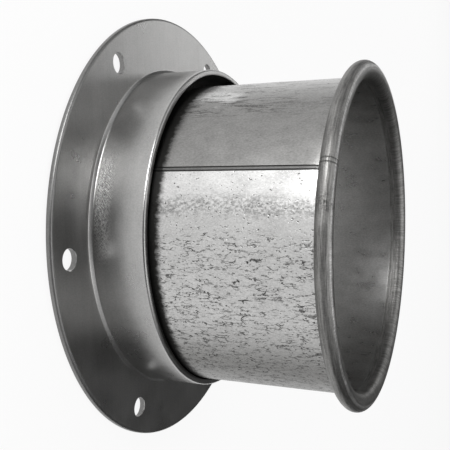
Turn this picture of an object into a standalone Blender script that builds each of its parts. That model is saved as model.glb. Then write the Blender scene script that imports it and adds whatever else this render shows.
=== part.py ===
"""A flange adaptor for round sheet-metal duct, modelled in Blender.

The adaptor has two pieces. The duct stub is one sheet of galvanised steel: a short
tube with a welded lengthwise seam, a rolled lip at the top for a clamp band, and a
turned-out lap at the foot. The ring is a steel angle rolled into a hoop, with its
flange leg drilled for bolts. It sits loose round the tube, on the lap, so that it
can be turned until its holes meet those of the other flange.

Units are metres. +Z is the axis, from the bolted end up to the lip, and the origin
is the centre of the ring's bolt circle, in the plane of the lap's lower face.
"""

import bmesh
import bpy
from math import acos, cos, pi, radians, sin
from mathutils import Matrix, Vector

# Duct stub
duct_diameter = 0.150
sheet_thickness = 0.001
overall_height = 0.112
lap_width = 0.0115
lap_bend_radius = 0.0015
lip_depth = 0.0086
lip_height = 0.0074
lip_gap = 0.00045
seam_angle = radians(150)
seam_width = 0.0018
seam_rise = 0.00035

# Angle ring
ring_clearance = 0.003
flange_leg = 0.030
collar_leg = 0.030
ring_thickness = 0.0028
root_radius = 0.0025
toe_radius = 0.0012
heel_radius = 0.0006
hole_count = 6
hole_diameter = 0.0095
hole_setback = 0.018

# How the ring lies on the duct: flat on the lap, and pushed to one side
seat_gap = 0.0003
side_gap = 0.0004
ring_shift_angle = radians(76)

# Facets
turn_steps = 96
lip_points = 15
bend_points = 4
hole_segments = 28
bead_segments = 12

# Sizes that follow from the ones above
tube_outer = duct_diameter / 2
tube_inner = tube_outer - sheet_thickness
lap_outer = tube_outer + lap_width
ring_bore = tube_outer + ring_clearance
ring_outer = ring_bore + flange_leg
ring_back = sheet_thickness + seat_gap
ring_shift = ring_clearance - side_gap
duct_place = Vector((-ring_shift * cos(ring_shift_angle), -ring_shift * sin(ring_shift_angle), 0.0))


def clear_scene():
    """Remove every object, so the script starts from an empty file."""
    for old in list(bpy.data.objects):
        bpy.data.objects.remove(old)


def new_collection(name):
    """Make a collection that hangs from the scene."""
    collection = bpy.data.collections.new(name)
    bpy.context.scene.collection.children.link(collection)
    return collection


def metal(name, colour, roughness):
    """A Principled material for one kind of steel surface."""
    material = bpy.data.materials.new(name)
    material.use_nodes = True
    shader = material.node_tree.nodes["Principled BSDF"]
    shader.inputs["Base Color"].default_value = (*colour, 1.0)
    shader.inputs["Metallic"].default_value = 1.0
    shader.inputs["Roughness"].default_value = roughness
    return material


def arc(centre, radii, start, end, points):
    """Points on an elliptic arc in the section plane, as (radius, height) pairs."""
    turns = [start + (end - start) * i / (points - 1) for i in range(points)]
    return [(centre[0] + radii[0] * cos(a), centre[1] + radii[1] * sin(a)) for a in turns]


def turned(name, section, collection, material):
    """Turn a closed section round the Z axis into one solid."""
    mesh = bpy.data.meshes.new(name)
    vertices = [(radius, 0.0, height) for radius, height in section]
    edges = [(i, (i + 1) % len(section)) for i in range(len(section))]
    mesh.from_pydata(vertices, edges, [])
    piece = bpy.data.objects.new(name, mesh)
    collection.objects.link(piece)
    screw = piece.modifiers.new("Turn", "SCREW")
    screw.axis = "Z"
    screw.angle = 2 * pi
    screw.steps = turn_steps
    screw.render_steps = turn_steps
    screw.use_merge_vertices = True
    screw.merge_threshold = 0.00001
    screw.use_smooth_shade = True
    piece.data.materials.append(material)
    return piece


def add_cut(piece, other, operation, label):
    """Join a guide to a piece, or cut it out, with an exact Boolean."""
    cut = piece.modifiers.new(label, "BOOLEAN")
    cut.operation = operation
    cut.solver = "EXACT"
    cut.object = other


def round_bar(name, cutters, radius, length, segments, shape):
    """A round bar along Z, reshaped and placed by a matrix, that only serves a Boolean."""
    mesh = bpy.data.meshes.new(name)
    bar = bmesh.new()
    bmesh.ops.create_cone(bar, cap_ends=True, segments=segments, radius1=radius, radius2=radius, depth=length)
    bmesh.ops.transform(bar, matrix=shape, verts=bar.verts)
    bar.to_mesh(mesh)
    bar.free()
    guide = bpy.data.objects.new(name, mesh)
    guide.hide_render = True
    guide.display_type = "WIRE"
    cutters.objects.link(guide)
    return guide


def lip_section():
    """The rolled lip: over the top and round to the cut edge, then back inside the roll.

    The roll closes until its cut edge stands one gap away from the tube.
    """
    half_depth = lip_depth / 2
    half_height = lip_height / 2
    centre = (tube_inner + half_depth, overall_height - half_height)
    cut_edge = -acos((sheet_thickness + lip_gap) / half_depth - 1)
    outer = arc(centre, (half_depth, half_height), pi, cut_edge, lip_points)
    inner_radii = (half_depth - sheet_thickness, half_height - sheet_thickness)
    inner = arc(centre, inner_radii, cut_edge, pi, lip_points)
    return outer + inner


def lap_section():
    """The turned-out lap: its upper face outward, then its lower face back in."""
    inner_bend = (lap_bend_radius, lap_bend_radius)
    upper = arc((tube_outer + lap_bend_radius, sheet_thickness + lap_bend_radius),
                inner_bend, pi, 1.5 * pi, bend_points)
    outer_radius = lap_bend_radius + sheet_thickness
    lower = arc((tube_inner + outer_radius, outer_radius),
                (outer_radius, outer_radius), 1.5 * pi, pi, bend_points)
    edge = [(lap_outer, sheet_thickness), (lap_outer, 0.0)]
    return upper + edge + lower


def make_seam_bead(cutters):
    """The weld along the tube: a low round bead, sunk in the wall and a little proud of it."""
    foot = sheet_thickness + lap_bend_radius + seam_width
    top = overall_height - lip_height - seam_width
    flatten = Matrix.Diagonal(Vector((2 * seam_rise / seam_width, 1.0, 1.0, 1.0)))
    out_to_wall = Matrix.Translation((tube_outer, 0.0, (foot + top) / 2))
    shape = Matrix.Rotation(seam_angle, 4, "Z") @ out_to_wall @ flatten
    bead = round_bar("seam_bead", cutters, seam_width / 2, top - foot, bead_segments, shape)
    bead.location = duct_place
    return bead


def make_duct_stub(collection, cutters, material):
    """Tube, rolled lip, turned-out lap and seam, as the one sheet that they are."""
    stub = turned("duct_stub", lip_section() + lap_section(), collection, material)
    stub.location = duct_place
    add_cut(stub, make_seam_bead(cutters), "UNION", "Seam")


def ring_section():
    """The rolled angle: down the collar's outside, round the flange leg, up the bore."""
    collar_outer = ring_bore + ring_thickness
    face = ring_back + ring_thickness
    top = ring_back + collar_leg
    toe = (toe_radius, toe_radius)
    collar_toe = arc((collar_outer - toe_radius, top - toe_radius), toe, pi / 2, 0.0, bend_points)
    root = arc((collar_outer + root_radius, face + root_radius),
               (root_radius, root_radius), pi, 1.5 * pi, bend_points + 2)
    rim_toe = arc((ring_outer - toe_radius, face - toe_radius), toe, pi / 2, 0.0, bend_points)
    rim_foot = [(ring_outer, ring_back + heel_radius), (ring_outer - heel_radius, ring_back)]
    heel = [(ring_bore + heel_radius, ring_back), (ring_bore, ring_back + heel_radius)]
    mouth = [(ring_bore, top - heel_radius), (ring_bore + heel_radius, top)]
    return collar_toe + root + rim_toe + rim_foot + heel + mouth


def make_angle_ring(collection, cutters, material):
    """The loose ring, turned from its angle section and drilled for the bolts."""
    ring = turned("angle_ring", ring_section(), collection, material)
    first_hole = Matrix.Translation((ring_bore + hole_setback, 0.0, ring_back + ring_thickness / 2))
    for index in range(hole_count):
        place = Matrix.Rotation(2 * pi * index / hole_count, 4, "Z") @ first_hole
        name = f"drill_{index + 1}"
        drill = round_bar(name, cutters, hole_diameter / 2, 3 * ring_thickness, hole_segments, place)
        add_cut(ring, drill, "DIFFERENCE", f"Hole {index + 1}")


def main():
    clear_scene()
    parts = new_collection("flange_adaptor")
    cutters = new_collection("cutters")
    galvanised = metal("galvanised_sheet", (0.62, 0.62, 0.61), 0.34)
    rolled_steel = metal("rolled_angle_steel", (0.42, 0.42, 0.41), 0.42)
    make_duct_stub(parts, cutters, galvanised)
    make_angle_ring(parts, cutters, rolled_steel)


main()
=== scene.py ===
"""The looks of the flange adaptor: a galvanised duct stub in a loose rolled-angle ring.

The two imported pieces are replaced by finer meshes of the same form, with the weld
seam, the sheet's slight waves and softened hole edges, and with procedural metals.
"""

import bmesh
import bpy
from math import acos, cos, exp, pi, radians, sin, sqrt, tan
from mathutils import Matrix, Vector, noise


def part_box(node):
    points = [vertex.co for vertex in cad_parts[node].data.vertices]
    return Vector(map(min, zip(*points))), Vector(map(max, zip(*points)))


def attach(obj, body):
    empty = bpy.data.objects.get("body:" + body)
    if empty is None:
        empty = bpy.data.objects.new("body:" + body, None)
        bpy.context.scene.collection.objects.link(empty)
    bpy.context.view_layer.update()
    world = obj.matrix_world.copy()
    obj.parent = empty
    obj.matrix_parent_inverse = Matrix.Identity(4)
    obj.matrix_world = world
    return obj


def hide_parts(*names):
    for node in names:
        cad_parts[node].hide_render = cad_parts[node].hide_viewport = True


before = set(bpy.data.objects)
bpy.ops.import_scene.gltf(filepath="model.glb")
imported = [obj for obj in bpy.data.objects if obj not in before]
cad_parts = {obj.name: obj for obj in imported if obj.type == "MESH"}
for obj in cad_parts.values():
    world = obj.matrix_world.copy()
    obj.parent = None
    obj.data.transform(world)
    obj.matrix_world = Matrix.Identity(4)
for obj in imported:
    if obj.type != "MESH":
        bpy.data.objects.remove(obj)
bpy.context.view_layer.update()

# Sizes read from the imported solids, in metres
stub_low, stub_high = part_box("duct_stub")
ring_low, ring_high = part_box("angle_ring")
duct_centre = (stub_low + stub_high) / 2
overall_height = stub_high.z
lap_outer = (stub_high.x - stub_low.x) / 2
ring_outer = (ring_high.x - ring_low.x) / 2
ring_back = ring_low.z
ring_top = ring_high.z

# Sizes that the boxes don't show, as the solids have them
sheet = 0.001
tube_outer = 0.075
tube_inner = tube_outer - sheet
lap_bend = 0.0015
lip_depth = 0.0086
lip_height = 0.0074
lip_gap = 0.00045
seam_angle = radians(150)
ring_bore = 0.078
ring_thickness = 0.0028
toe_radius = 0.0012
heel_radius = 0.0006
hole_count = 6
hole_radius = 0.00475
hole_circle = 0.096

# Finer forms than the solids have: softened edges, a flat in the root, and the weld's grooves
cut_edge_bevel = 0.0001
hole_chamfer = 0.00025
root_leg = 0.0013
root_corner = 0.0006
bead_half = 0.0006
bead_rise = 0.00016
groove_offset = 0.00085
groove_half = 0.00022
groove_depth = 0.00026

# The sheet beside the weld stands out as a soft ridge, rolling leaves slight waves, and the bead
# is rippled
ridge_rise = 0.00050
ridge_spread = 0.0070
wave_height = 0.00007
wave_scale = 38.0
ripple_scale = 900.0

# Ridge, waves and bead fade out before the lip, and fade in above the lap
lip_fade = 0.004
lap_clear = 0.004
lap_fade = 0.006

# Points on the curves and straights of the sections, and the sides of a drill
roll_points = 34
inner_roll_points = 26
bend_points = 7
foot_points = 9
wall_points = 40
toe_points = 7
corner_points = 5
mouth_points = 4
leg_points = 8
drill_sides = 64

# Edges that turn by more than this are shaded sharp
sharp_angle = radians(38)

# Greys of the zinc on the sheet's parts and of its marks, and of the ring's steel; the flank, the band
# before the weld and the lip get painted shade, and beside the weld, the crest and a small patch get
# painted highlights
plain_grey = 0.55
flank_shade_grey = 0.19
weld_highlight_grey = 0.66
shade_band_grey = 0.27
bore_grey = 0.48
lip_shade_grey = 0.21
crown_highlight_grey = 0.60
patch_highlight_grey = 0.85
mark_grey = 0.022
steel_grey = 0.44

# Where the zinc's looks start and end, as angles from the weld in radians; the band and flank angles bound
# painted shade, the weld-side angles a painted highlight
shade_band_start = (-0.95, -0.45)
shade_band_end = (-0.014, -0.010)
crazed_after = (0.35, 0.53)
crazed_before = (-2.1, -1.5)
folded_after = (-1.9, -1.2)
folded_before = (-0.30, -0.20)
speckled_after = (0.20, 0.27)
speckled_before = (0.30, 0.36)
weld_highlight_after = (-0.20, -0.05)
weld_highlight_before = (0.20, 0.30)
flank_shade_after = (0.80, 1.30)
flank_shade_before = (2.0, 3.0)

# Where they start and end on the lip, down from its top and out from the tube; the crest values place a
# painted highlight
lip_foot = (overall_height - 0.0082, overall_height - 0.0072)
lip_flare = (overall_height - 0.0055, overall_height - 0.0035)
crown_highlight_height = (overall_height - 0.0008, overall_height - 0.0004)
flare_radius = (tube_outer + 0.0020, tube_outer + 0.0040)
crown_highlight_radius = (tube_outer + 0.0038, tube_outer + 0.0048)

# The folds fade towards the lip, and painted shade lies as a dark ragged band on the tube in and just past
# the ring's mouth
folds_fade = (overall_height - 0.052, overall_height - 0.017)
gap_shade_foot = (ring_top - 0.0113, ring_top - 0.0053)
gap_shade_top = (ring_top + 0.0042, ring_top + 0.0079)
gap_shade_raggedness = 0.0050

# A painted highlight, a small bright patch above that band: its middle, and how far it reaches to each
# side
patch_highlight_angle = -0.62
patch_highlight_height = ring_top + 0.0137
patch_highlight_turn_reach = (0.030, 0.12)
patch_highlight_height_reach = (0.009, 0.016)

# Where the bending rolls left hatching on the collar, measured from -X towards +Y
hatch_angle = radians(14)
hatch_reach = (0.10, 0.42)
hatch_foot = (ring_back + 0.0042, ring_back + 0.0055)
hatch_top = (ring_back + 0.0097, ring_back + 0.0152)

# Where the flange starts to count as the holes' band, and where its rolled rim starts; both get painted
# shade
hole_band = (ring_bore + 0.0070, ring_bore + 0.0090)
rim_band = (ring_outer - 0.0015, ring_outer - 0.0008)

# The camera that the photograph's outlines give, in a frame turned about the axis
camera_turn = radians(-11.2)
camera_place = Vector((-0.34298, -0.01358, 0.18391))
camera_right = Vector((0.40171, 0.03785, 0.91499))
camera_down = Vector((0.05135, -0.99850, 0.01876))
camera_focus_px = 718.4
picture_px = 450
sensor_width = 36.0

# The studio: a pale floor, an evenly dim room, and soft lamps aimed at the part's middle
floor_width = 12.0
floor_grey = 0.9
floor_glow = 0.90
room_light = 0.06
part_middle = Vector((0, 0, 0.05))

# Each lamp's name, azimuth and elevation in degrees, distance, size and power
lamps = [
    ("overhead", 0, 90, 2.2, (2.4, 2.4), 30),
    ("side", 80, 44, 1.3, (1.1, 1.1), 2.4),
    ("key", 147, 8, 0.8, (0.40, 0.26), 4.4),
    ("far_side", 29, 22, 1.2, (0.60, 0.36), 0.95),
    ("low_side", -120, 40, 1.2, (0.9, 0.9), 1.4),
]


def arc(centre, radii, start, end, points):
    """Points on an elliptic arc, as (radius, height) pairs."""
    turns = [start + (end - start) * i / (points - 1) for i in range(points)]
    return [(centre[0] + radii[0] * cos(a), centre[1] + radii[1] * sin(a)) for a in turns]


def line(start, end, points):
    """Points between two ends, close together near both, without the ends themselves."""
    steps = [(1 - cos(pi * i / (points + 1))) / 2 for i in range(1, points + 1)]
    return [(start[0] + (end[0] - start[0]) * t, start[1] + (end[1] - start[1]) * t) for t in steps]


def duct_section():
    """The sheet's closed section: the lip's roll, down the outside, the lap, up the bore."""
    half = (lip_depth / 2, lip_height / 2)
    centre = (tube_inner + half[0], overall_height - half[1])
    cut_edge = -acos((sheet + lip_gap) / half[0] - 1)
    inside = (half[0] - sheet, half[1] - sheet)
    roll = arc(centre, half, pi, cut_edge, roll_points)
    roll += arc(centre, inside, cut_edge, pi, inner_roll_points)
    bend = arc((tube_outer + lap_bend, sheet + lap_bend), (lap_bend, lap_bend), pi, 1.5 * pi, bend_points)
    under = lap_bend + sheet
    foot = arc((tube_inner + under, under), (under, under), 1.5 * pi, pi, foot_points)
    lap = [(lap_outer - cut_edge_bevel, sheet), (lap_outer, sheet - cut_edge_bevel),
           (lap_outer, cut_edge_bevel), (lap_outer - cut_edge_bevel, 0.0)]
    outside = line(roll[-1], bend[0], wall_points)
    bore = line(foot[-1], roll[0], wall_points)
    return roll + outside + bend + lap + foot + bore


def ring_section():
    """The angle's closed section: down the collar, along the flange leg, up the bore."""
    collar = ring_bore + ring_thickness
    face = ring_back + ring_thickness
    toe = (toe_radius, toe_radius)
    heel = (heel_radius, heel_radius)
    collar_toe = arc((collar - toe_radius, ring_top - toe_radius), toe, pi / 2, 0, toe_points)
    flat = root_corner * tan(pi / 8)
    tight = (root_corner, root_corner)
    root = arc((collar + root_corner, face + root_leg + flat), tight, pi, 1.25 * pi, corner_points)
    root += arc((collar + root_leg + flat, face + root_corner), tight, 1.25 * pi, 1.5 * pi, corner_points)
    rim_toe = arc((ring_outer - toe_radius, face - toe_radius), toe, pi / 2, 0, toe_points)
    rim_foot = arc((ring_outer - heel_radius, ring_back + heel_radius), heel, 0, -pi / 2, corner_points)
    heel_edge = arc((ring_bore + heel_radius, ring_back + heel_radius), heel, -pi / 2, -pi, corner_points)
    small = heel_radius / 2
    mouth = arc((ring_bore + small, ring_top - small), (small, small), pi, pi / 2, mouth_points)
    return (collar_toe + line(collar_toe[-1], root[0], leg_points)
            + root + line(root[-1], rim_toe[0], leg_points)
            + rim_toe + rim_foot + line(rim_foot[-1], heel_edge[0], leg_points)
            + heel_edge + line(heel_edge[-1], mouth[0], leg_points) + mouth)


def section_normals(section):
    """The outward normal at each point of a closed section that runs down its outer side."""
    normals = []
    for i in range(len(section)):
        before = section[i - 1]
        after = section[(i + 1) % len(section)]
        run = Vector((after[0] - before[0], after[1] - before[1])).normalized()
        normals.append((-run.y, run.x))
    return normals


def revolve(name, section, angles, centre, lift):
    """Turn a closed section round a vertical axis; lift moves each point along its normal."""
    normals = section_normals(section)
    count = len(section)
    vertices = []
    for angle in angles:
        for (radius, height), (out, up) in zip(section, normals):
            rise = lift(angle, radius, height)
            r = radius + out * rise
            vertices.append((centre.x + r * cos(angle), centre.y + r * sin(angle), height + up * rise))
    faces = []
    for i in range(len(angles)):
        row = i * count
        following = (i + 1) % len(angles) * count
        for k in range(count):
            m = (k + 1) % count
            faces.append((row + k, row + m, following + m, following + k))
    mesh = bpy.data.meshes.new(name)
    mesh.from_pydata(vertices, [], faces)
    mesh.validate()
    mesh.shade_smooth()
    mesh.set_sharp_from_angle(angle=sharp_angle)
    piece = bpy.data.objects.new(name, mesh)
    bpy.context.scene.collection.objects.link(piece)
    return piece


def from_seam(angle):
    """The angle from the weld, between minus pi and pi."""
    return (angle - seam_angle + pi) % (2 * pi) - pi


def sheet_lift(angle, radius, height):
    """How far the real sheet stands off its plain turned form."""
    along = from_seam(angle) * tube_outer
    in_tube = min(1.0, max(0.0, (overall_height - lip_height - height) / lip_fade))
    off_lap = min(1.0, max(0.0, (height - lap_clear) / lap_fade))
    side = 1.0 if radius > (tube_outer + tube_inner) / 2 else -1.0
    ridge = ridge_rise * exp(-abs(along) / ridge_spread) * in_tube * off_lap
    spot = Vector((cos(angle) * tube_outer, sin(angle) * tube_outer, height)) * wave_scale
    waves = wave_height * noise.noise(spot) * in_tube * off_lap
    bead = 0.0
    if abs(along) < bead_half:
        ripple = 0.8 + 0.4 * noise.noise(Vector((0.0, 0.0, height * ripple_scale)))
        bead = bead_rise * sqrt(1 - (along / bead_half) ** 2) * ripple * off_lap * in_tube
    grooves = groove_depth * exp(-((abs(along) - groove_offset) / groove_half) ** 2) * off_lap
    if side < 0 or in_tube < 1:
        grooves *= 0.5
    return side * (ridge + waves) + bead - grooves


def duct_angles():
    """One degree apart round the duct, and much closer across the weld."""
    steps_per_degree = 14
    coarse = [seam_angle + radians(a) for a in range(2, 359)]
    fine = [seam_angle + radians(a / steps_per_degree) for a in range(-27, 28)]
    return fine + coarse


def make_duct():
    """The duct stub: tube, lip, lap and weld in one sheet."""
    duct = revolve("duct_sheet", duct_section(), duct_angles(), duct_centre, sheet_lift)
    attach(duct, "stub")
    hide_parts("duct_stub")
    return duct


def drill_section():
    """Half the outline of a drill with a slight flare at both faces of the flange."""
    low = ring_back
    high = ring_back + ring_thickness
    wide = hole_radius + hole_chamfer
    past = 0.002
    return [(wide + past, low - past), (wide, low), (hole_radius, low + hole_chamfer),
            (hole_radius, high - hole_chamfer), (wide, high), (wide + past, high + past)]


def make_drill(index):
    """A closed cutter for one bolt hole, with chamfered ends."""
    turns = [2 * pi * i / drill_sides for i in range(drill_sides)]
    cutter = bmesh.new()
    rings = [[cutter.verts.new((r * cos(a), r * sin(a), h)) for a in turns] for r, h in drill_section()]
    for lower, upper in zip(rings, rings[1:]):
        for i in range(drill_sides):
            j = (i + 1) % drill_sides
            cutter.faces.new((lower[i], lower[j], upper[j], upper[i]))
    cutter.faces.new(list(reversed(rings[0])))
    cutter.faces.new(rings[-1])
    mesh = bpy.data.meshes.new(f"drill_{index}")
    cutter.to_mesh(mesh)
    cutter.free()
    drill = bpy.data.objects.new(f"drill_{index}", mesh)
    bpy.context.scene.collection.objects.link(drill)
    angle = 2 * pi * index / hole_count
    drill.location = (hole_circle * cos(angle), hole_circle * sin(angle), 0)
    return drill


def apply_modifiers(piece):
    """Bake the piece's modifiers into its mesh."""
    graph = bpy.context.evaluated_depsgraph_get()
    mesh = bpy.data.meshes.new_from_object(piece.evaluated_get(graph))
    piece.modifiers.clear()
    piece.data = mesh


def make_ring():
    """The rolled angle with its bolt holes."""
    angles = [radians(a) for a in range(360)]
    ring = revolve("rolled_ring", ring_section(), angles, Vector((0, 0, 0)), lambda a, r, h: 0.0)
    drills = [make_drill(i) for i in range(hole_count)]
    for drill in drills:
        cut = ring.modifiers.new(drill.name, "BOOLEAN")
        cut.operation = "DIFFERENCE"
        cut.solver = "EXACT"
        cut.object = drill
    apply_modifiers(ring)
    ring.data.set_sharp_from_angle(angle=sharp_angle)
    for drill in drills:
        bpy.data.objects.remove(drill)
    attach(ring, "ring")
    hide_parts("angle_ring")
    return ring


class Shader:
    """Short words for building one material's nodes."""

    def __init__(self, name):
        self.material = bpy.data.materials.new(name)
        self.material.use_nodes = True
        self.tree = self.material.node_tree
        self.principled = self.tree.nodes["Principled BSDF"]

    def put(self, socket, value):
        """Link a socket, or set a plain value."""
        if isinstance(value, bpy.types.NodeSocket):
            self.tree.links.new(value, socket)
        else:
            socket.default_value = value

    def node(self, kind, settings=None, **values):
        """Add a node; settings are its options, the rest its inputs by name or number."""
        made = self.tree.nodes.new(kind)
        for key, value in (settings or {}).items():
            setattr(made, key, value)
        for key, value in values.items():
            numbered = key[0] == "i" and key[1:].isdigit()
            self.put(made.inputs[int(key[1:])] if numbered else made.inputs[key], value)
        return made

    def math(self, operation, a, b=0.0):
        return self.node("ShaderNodeMath", {"operation": operation}, i0=a, i1=b).outputs[0]

    def chain(self, operation, values):
        """One operation over all the values, two at a time."""
        result = values[0]
        for value in values[1:]:
            result = self.math(operation, result, value)
        return result

    def times(self, *values):
        return self.chain("MULTIPLY", values)

    def plus(self, *values):
        return self.chain("ADD", values)

    def most(self, *values):
        return self.chain("MAXIMUM", values)

    def minus(self, a, b):
        return self.math("SUBTRACT", a, b)

    def size(self, value):
        return self.math("ABSOLUTE", value)

    def weaken(self, value, share=1.0):
        """One less a share of the value."""
        return self.minus(1.0, self.times(value, share))

    def remap(self, value, low, high, out_low=0.0, out_high=1.0):
        """A smooth step from one range to another."""
        made = self.node("ShaderNodeMapRange", {"interpolation_type": "SMOOTHSTEP"},
                         i0=value, i1=low, i2=high, i3=out_low, i4=out_high)
        return made.outputs[0]

    def after(self, value, edge):
        """Nought before the edge's two values, one after them."""
        return self.remap(value, edge[0], edge[1])

    def before(self, value, edge):
        """One before the edge's two values, nought after them."""
        return self.remap(value, edge[0], edge[1], 1.0, 0.0)

    def mix(self, factor, a, b):
        made = self.node("ShaderNodeMix", {"data_type": "RGBA"})
        self.put(made.inputs["Factor"], factor)
        self.put(made.inputs[6], a)
        self.put(made.inputs[7], b)
        return made.outputs[2]

    def vector(self, operation, a, b):
        """A vector from two others."""
        return self.node("ShaderNodeVectorMath", {"operation": operation}, i0=a, i1=b).outputs[0]

    def length(self, vector):
        made = self.node("ShaderNodeVectorMath", {"operation": "LENGTH"}, i0=vector)
        return made.outputs["Value"]

    def turned(self, vector, angle):
        """A vector turned about the Z axis."""
        made = self.node("ShaderNodeVectorRotate", {"rotation_type": "Z_AXIS"}, Vector=vector, Angle=angle)
        return made.outputs[0]

    def join(self, x, y, z=0.0):
        return self.node("ShaderNodeCombineXYZ", i0=x, i1=y, i2=z).outputs[0]

    def parts(self, vector):
        return self.node("ShaderNodeSeparateXYZ", i0=vector).outputs

    def along_axis(self, vector, share):
        """The place with its height scaled, which draws a pattern out along the duct."""
        return self.node("ShaderNodeMapping", Vector=vector, Scale=(1, 1, share)).outputs[0]

    def noise(self, vector, scale, detail=3.0, roughness=0.5):
        made = self.node("ShaderNodeTexNoise", Vector=vector, Scale=scale, Detail=detail,
                         Roughness=roughness)
        return made.outputs[0]

    def finish(self, colour, roughness, bump_strength, bump_distance, relief):
        """Join what was built to the metal's inputs."""
        bump = self.node("ShaderNodeBump", Strength=bump_strength, Distance=bump_distance, Height=relief)
        self.put(self.principled.inputs["Base Color"], colour)
        self.put(self.principled.inputs["Metallic"], 1.0)
        self.put(self.principled.inputs["Roughness"], roughness)
        self.put(self.principled.inputs["Normal"], bump.outputs[0])
        return self.material


def grey(value, warmth=0.004):
    """A nearly neutral grey, slightly warm like the photograph's."""
    return (value + warmth, value + warmth * 0.4, value - warmth, 1.0)


class Zinc(Shader):
    """The galvanised sheet's material, with places measured from the duct's axis and weld."""

    def __init__(self):
        super().__init__("galvanised")
        coordinates = self.node("ShaderNodeTexCoord").outputs
        centred = self.vector("SUBTRACT", coordinates["Object"], duct_centre * Vector((1, 1, 0)))
        self.spot = self.turned(centred, -seam_angle)
        x, y, self.height = self.parts(self.spot)
        self.angle = self.math("ARCTAN2", y, x)
        flat = self.vector("MULTIPLY", self.spot, (1, 1, 0))
        self.radius = self.length(flat)
        self.in_lip = self.after(self.height, lip_foot)
        away = self.node("ShaderNodeVectorMath", {"operation": "NORMALIZE"}, i0=flat).outputs[0]
        normal = self.turned(coordinates["Normal"], -seam_angle)
        facing = self.node("ShaderNodeVectorMath", {"operation": "DOT_PRODUCT"}, i0=normal, i1=away)
        self.outside = self.remap(facing.outputs["Value"], -0.2, 0.2)
        self.tube_out = self.times(self.outside, self.weaken(self.in_lip))
        # A band before the weld that gets painted shade
        self.shade_band = self.times(self.after(self.angle, shade_band_start), self.before(self.angle, shade_band_end))
        self.wander = self.noise(self.along_axis(self.spot, 0.5), 60.0, 2.0)

    def wavy_angle(self, amount):
        """The angle from the weld with a slow wander, so that no change runs straight."""
        return self.plus(self.angle, self.times(self.wander, amount))

    def crazing(self, bend):
        """Dark edges of long narrow cells, kept only here and there."""
        cells = self.node("ShaderNodeTexVoronoi", {"feature": "DISTANCE_TO_EDGE"},
                          Vector=self.along_axis(bend, 0.26), Scale=840.0)
        edges = self.remap(cells.outputs["Distance"], 0.02, 0.13, 1.0, 0.0)
        crazed = self.most(self.after(self.wavy_angle(0.25), crazed_after),
                           self.before(self.angle, crazed_before))
        kept = self.noise(self.along_axis(self.spot, 0.30), 640.0, 3.0, 0.7)
        kept = self.remap(self.plus(kept, self.times(crazed, 0.17)), 0.65, 0.72)
        depth = self.remap(self.noise(self.spot, 260.0, 2.0), 0.35, 0.65, 0.60, 1.0)
        return self.times(edges, kept, depth)

    def folds(self, bend):
        """Longer wrinkles before the weld, away from it, over the band of painted shade and past it."""
        lines = self.noise(self.along_axis(bend, 0.10), 430.0, 3.0, 0.6)
        lines = self.remap(self.size(self.minus(lines, 0.5)), 0.008, 0.045, 1.0, 0.0)
        kept = self.remap(self.noise(self.along_axis(self.spot, 0.35), 190.0, 2.0), 0.38, 0.48)
        folded = self.times(self.before(self.wavy_angle(0.30), folded_before),
                            self.after(self.angle, folded_after))
        fade = self.remap(self.height, folds_fade[0], folds_fade[1], 0.70, 0.25)
        return self.times(lines, kept, folded, fade)

    def marks(self, folds, bend):
        """All the dark marks on the tube's outside: crazing, small pits and folds."""
        pits = self.remap(self.noise(self.along_axis(self.spot, 0.7), 900.0, 2.0), 0.655, 0.71)
        fewer = self.weaken(self.shade_band, 0.8)
        marks = self.most(self.times(self.crazing(bend), fewer), self.times(pits, fewer), folds)
        return self.times(marks, self.tube_out)

    def tone(self, patches, grain):
        """Broad faint patches, a fine grain, and a speckled strip on the side of the weld with the painted
        highlight.
        """
        tone = self.plus(self.remap(patches, 0.25, 0.75, 0.92, 1.06),
                         self.remap(grain, 0.25, 0.75, -0.17, 0.17))
        place = self.wavy_angle(0.12)
        speckled = self.times(self.after(place, speckled_after), self.before(place, speckled_before))
        specks = self.noise(self.along_axis(self.spot, 0.8), 900.0, 3.0, 0.7)
        return self.plus(tone, self.times(speckled, self.remap(specks, 0.38, 0.62, -0.42, 0.10)))

    def weld(self):
        """A dark groove on either side of the bead, and a dim bead between them."""
        along = self.size(self.times(self.angle, tube_outer))
        groove = self.size(self.minus(along, groove_offset))
        groove = self.remap(groove, groove_half * 0.9, groove_half * 2.0, 1.0, 0.0)
        groove = self.times(groove, self.weaken(self.in_lip, 0.5), 0.95)
        bead = self.remap(along, groove_offset, groove_offset * 1.1, 0.80, 0.0)
        return self.most(self.times(bead, self.weaken(self.in_lip)), groove)

    def gap_shade(self):
        """Painted shade: a dark ragged band on the tube in and just past the ring's mouth."""
        ragged = self.noise(self.along_axis(self.spot, 0.7), 420.0, 3.0, 0.65)
        line = self.before(self.plus(self.height, self.times(ragged, gap_shade_raggedness)), gap_shade_top)
        return self.times(line, self.outside, self.after(self.height, gap_shade_foot), 0.97)

    def highlight_patch(self, patches):
        """A painted highlight: a small bright patch by the ring's mouth."""
        ragged = self.times(self.minus(patches, 0.5), 0.25)
        across = self.size(self.plus(self.minus(self.angle, patch_highlight_angle), ragged))
        along = self.size(self.minus(self.height, patch_highlight_height))
        return self.times(self.before(across, patch_highlight_turn_reach), self.before(along, patch_highlight_height_reach))

    def lip_wear(self):
        """Streaks that follow the roll, short lines across its inner flare, and a painted highlight along
        its crest.
        """
        around = self.join(self.radius, self.height, self.times(self.size(self.angle), 0.006))
        streaks = self.remap(self.noise(around, 1300.0, 3.0, 0.6), 0.3, 0.7, -1.0, 1.0)
        across = self.join(self.times(self.angle, tube_outer), self.times(self.radius, 0.12))
        across = self.remap(self.noise(across, 1500.0, 3.0, 0.6), 0.3, 0.7, -1.0, 1.0)
        flare = self.times(self.after(self.height, lip_flare), self.before(self.radius, flare_radius))
        worn = self.plus(self.times(streaks, self.weaken(flare)), self.times(across, flare))
        crown_highlight = self.times(self.after(self.radius, crown_highlight_radius), self.after(self.height, crown_highlight_height),
                           self.remap(across, -1.0, 1.0, 0.45, 1.0))
        return self.times(worn, self.in_lip), crown_highlight

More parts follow.
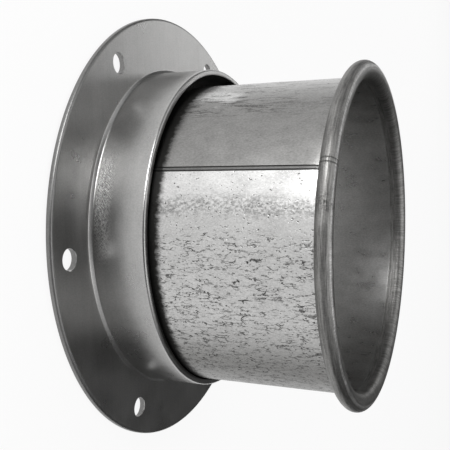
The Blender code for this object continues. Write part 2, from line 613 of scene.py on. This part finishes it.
    def sheet_colour(self, patches, crown_highlight):
        """The sheet's grey, part by part, before the marks, with painted shade on the flank, the band
        before the weld and the lip, and painted highlights beside the weld, on a small patch and along the
        lip's crest.
        """
        # Painted shade darkens the flank past the weld
        flank_shade = self.times(self.after(self.angle, flank_shade_after), self.before(self.angle, flank_shade_before))
        # Painted highlight: the sheet just past the weld is lighter
        weld_highlight = self.times(self.before(self.wavy_angle(0.12), weld_highlight_before),
                               self.after(self.angle, weld_highlight_after))
        colour = self.mix(flank_shade, grey(plain_grey), grey(flank_shade_grey))
        colour = self.mix(weld_highlight, colour, grey(weld_highlight_grey))
        # Painted shade on the band before the weld
        colour = self.mix(self.shade_band, colour, grey(shade_band_grey))
        # The small patch's painted highlight
        colour = self.mix(self.times(self.highlight_patch(patches), 0.55), colour, grey(patch_highlight_grey))
        colour = self.mix(self.outside, grey(bore_grey), colour)
        # Painted shade makes the lip darker than the sheet
        colour = self.mix(self.in_lip, colour, grey(lip_shade_grey))
        # A painted highlight along the lip's crest
        return self.mix(self.times(crown_highlight, 0.7), colour, grey(crown_highlight_grey))


def galvanised_metal():
    """Zinc-coated sheet: dark crazing along the tube, a weld line, and a streaked lip."""
    s = Zinc()
    patches = s.noise(s.along_axis(s.spot, 0.6), 150.0, 3.0, 0.6)
    grain = s.noise(s.along_axis(s.spot, 0.6), 1700.0, 3.0, 0.7)
    shift = s.node("ShaderNodeTexNoise", Vector=s.spot, Scale=520.0, Detail=3.0, Roughness=0.6).outputs[1]
    bend = s.node("ShaderNodeVectorMath", {"operation": "MULTIPLY_ADD"},
                  i0=shift, i1=(0.0014, 0.0014, 0.0040), i2=s.spot).outputs[0]
    folds = s.folds(bend)
    marks = s.marks(folds, bend)
    worn, crown_highlight = s.lip_wear()
    shade = s.plus(s.tone(patches, grain), s.times(worn, 0.30))
    lit = s.node("ShaderNodeVectorMath", {"operation": "SCALE"},
                 i0=s.sheet_colour(patches, crown_highlight), Scale=shade).outputs[0]
    # The darkest of the marks, the weld and the painted shade by the ring's mouth
    dark = s.most(s.times(marks, 0.90), s.weld(), s.gap_shade())
    roughness = s.plus(s.remap(patches, 0.2, 0.8, 0.26, 0.34), s.times(dark, 0.25),
                       s.times(s.in_lip, 0.16), s.times(s.shade_band, 0.06))
    relief = s.plus(s.times(grain, 0.35), s.times(marks, -1.0), s.times(worn, 0.6),
                    s.times(folds, s.tube_out, -1.2))
    return s.finish(s.mix(dark, lit, grey(mark_grey, 0.001)), roughness, 0.40, 0.00012, relief)


def hatching(s, angle, height):
    """Crossed fine lines left by the bending rolls, low on the collar, and where they lie."""
    run = s.times(angle, ring_bore)
    up = s.plus(run, height)
    down = s.minus(run, height)
    one_way = s.noise(s.join(up, s.times(down, 0.22)), 1500.0, 2.0, 0.6)
    other_way = s.noise(s.join(down, s.times(up, 0.22)), 1500.0, 2.0, 0.6)
    lines = s.remap(s.plus(one_way, other_way), 0.75, 1.25, -1.0, 1.0)
    from_middle = s.size(s.minus(angle, hatch_angle))
    patch = s.times(s.before(from_middle, hatch_reach), s.before(height, hatch_top))
    return s.times(lines, patch, s.after(height, hatch_foot)), patch


def rolled_steel():
    """Dull, slightly blotchy rolled steel, with a hatched rough patch by the root."""
    s = Shader("rolled_steel")
    coordinates = s.node("ShaderNodeTexCoord").outputs
    spot = coordinates["Object"]
    x, y, height = s.parts(spot)
    angle = s.math("ARCTAN2", y, s.times(x, -1.0))
    blotch = s.noise(spot, 42.0, 4.0, 0.6)
    fine = s.noise(spot, 1500.0, 3.0, 0.65)
    drawn = s.node("ShaderNodeMapping", Vector=spot, Scale=(1, 0.06, 1)).outputs[0]
    brushed = s.noise(drawn, 700.0, 2.0, 0.6)
    hatch, patch = hatching(s, angle, height)
    tone = s.plus(s.remap(blotch, 0.25, 0.75, 0.90, 1.07), s.remap(fine, 0.25, 0.75, -0.10, 0.10),
                  s.remap(brushed, 0.25, 0.75, -0.03, 0.03), s.times(hatch, 0.42), s.times(patch, -0.10))

    # Painted shade darkens the walls of the holes and the flange's rolled rim
    radius = s.length(s.vector("MULTIPLY", spot, (1, 1, 0)))
    upright = s.remap(s.size(s.parts(coordinates["Normal"])[2]), 0.30, 0.60, 1.0, 0.0)
    hole_wall_shade = s.times(upright, s.after(radius, hole_band))
    rim_shade = s.after(radius, rim_band)
    tone = s.times(tone, s.weaken(s.most(hole_wall_shade, rim_shade), 0.5))
    colour = s.node("ShaderNodeVectorMath", {"operation": "SCALE"}, i0=grey(steel_grey)[:3], Scale=tone)
    roughness = s.plus(s.remap(blotch, 0.2, 0.8, 0.26, 0.33), s.times(rim_shade, 0.12))
    relief = s.plus(fine, s.times(hatch, 1.6))
    return s.finish(colour.outputs[0], roughness, 0.28, 0.0001, relief)


def make_camera():
    """The photograph's camera: the duct's axis lies across the picture."""
    turn = Matrix.Rotation(camera_turn, 3, "Z")
    right = (turn @ camera_right).normalized()
    down = (turn @ camera_down).normalized()
    forward = right.cross(down).normalized()
    data = bpy.data.cameras.new("camera")
    data.sensor_width = sensor_width
    data.lens = camera_focus_px / picture_px * sensor_width
    camera = bpy.data.objects.new("camera", data)
    bpy.context.scene.collection.objects.link(camera)
    axes = Matrix((right, -down, -forward)).transposed()
    camera.matrix_world = Matrix.Translation(turn @ camera_place) @ axes.to_4x4()
    bpy.context.scene.camera = camera


def make_floor():
    """A plain pale floor; most of its white is its own, for the rays that see it directly."""
    bpy.ops.mesh.primitive_plane_add(size=floor_width)
    floor = bpy.context.object
    floor.name = "floor"
    s = Shader("floor")
    s.put(s.principled.inputs["Base Color"], grey(floor_grey, 0.0))
    s.put(s.principled.inputs["Roughness"], 0.9)
    path = s.node("ShaderNodeLightPath")
    seen = s.most(path.outputs["Is Camera Ray"], path.outputs["Is Glossy Ray"],
                  path.outputs["Is Transmission Ray"])
    glow = s.node("ShaderNodeEmission", Color=(1, 1, 1, 1), Strength=1.0)
    both = s.node("ShaderNodeMixShader", i0=s.times(seen, floor_glow),
                  i1=s.principled.outputs[0], i2=glow.outputs[0])
    output = s.tree.nodes["Material Output"]
    s.put(output.inputs["Surface"], both.outputs[0])
    floor.data.materials.append(s.material)


def make_world():
    """An evenly dim studio room, so the soft lamps shape the metal."""
    world = bpy.data.worlds.new("studio")
    bpy.context.scene.world = world
    world.use_nodes = True
    background = world.node_tree.nodes["Background"]
    background.inputs["Color"].default_value = (1, 1, 1, 1)
    background.inputs["Strength"].default_value = room_light


def make_lamp(name, azimuth, elevation, distance, size, power):
    """A soft flat lamp that faces the part from a direction in the camera's turned frame."""
    data = bpy.data.lights.new(name, "AREA")
    data.shape = "RECTANGLE"
    data.size, data.size_y = size
    data.energy = power
    lamp = bpy.data.objects.new(name, data)
    bpy.context.scene.collection.objects.link(lamp)
    round_turn = radians(azimuth) + camera_turn
    rise = radians(elevation)
    level = cos(rise)
    back = Vector((cos(round_turn) * level, sin(round_turn) * level, sin(rise)))
    lamp.location = part_middle + back * distance
    lamp.rotation_euler = (-back).to_track_quat("-Z", "Y").to_euler()


make_camera()
duct = make_duct()
duct.data.materials.append(galvanised_metal())
ring = make_ring()
ring.data.materials.clear()
ring.data.materials.append(rolled_steel())
make_floor()
make_world()
for lamp_settings in lamps:
    make_lamp(*lamp_settings)

bpy.context.scene.view_settings.view_transform = "Standard"
